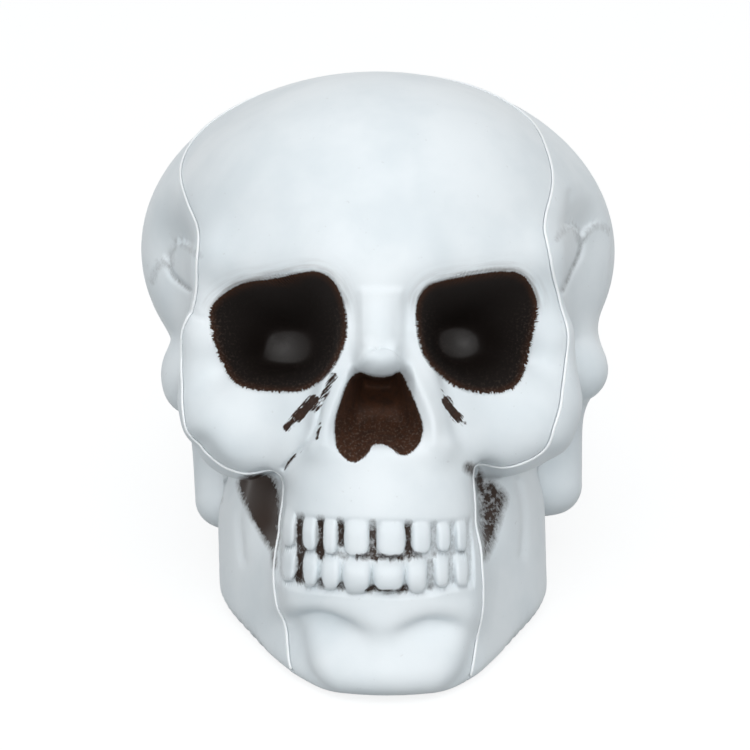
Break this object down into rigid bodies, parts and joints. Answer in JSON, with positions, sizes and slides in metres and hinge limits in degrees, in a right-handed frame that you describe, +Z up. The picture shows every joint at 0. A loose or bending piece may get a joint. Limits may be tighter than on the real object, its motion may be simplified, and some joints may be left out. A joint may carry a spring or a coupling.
{
  "type": "halloween skull decoration",
  "caption": "Life-size hollow plastic human skull with closed jaws, dark painted eye sockets and nose, and raised cement seams. Tilted back, it stands on its flat underside.",
  "frame": {"origin": "middle of the bounding box in plan, on the level that the flat underside rests on", "axes": "+X to the skull's own left, +Y to the back of the head and +Z up, with the face tilted back 19.5 degrees"},
  "size_m": [0.1524, 0.2154, 0.1646],
  "materials": {
    "skull_plastic": "satin bluish-white moulded plastic, brushed with dark brown paint in the hollows",
    "seam_cement": "smooth white cement squeezed out along the joints"
  },
  "bodies": {
    "root": {"face_shell": "skull_plastic", "left_cranium_shell": "skull_plastic", "right_cranium_shell": "skull_plastic", "face_seam_bead": "seam_cement", "crown_seam_bead": "seam_cement"}
  },
  "joints": []
}
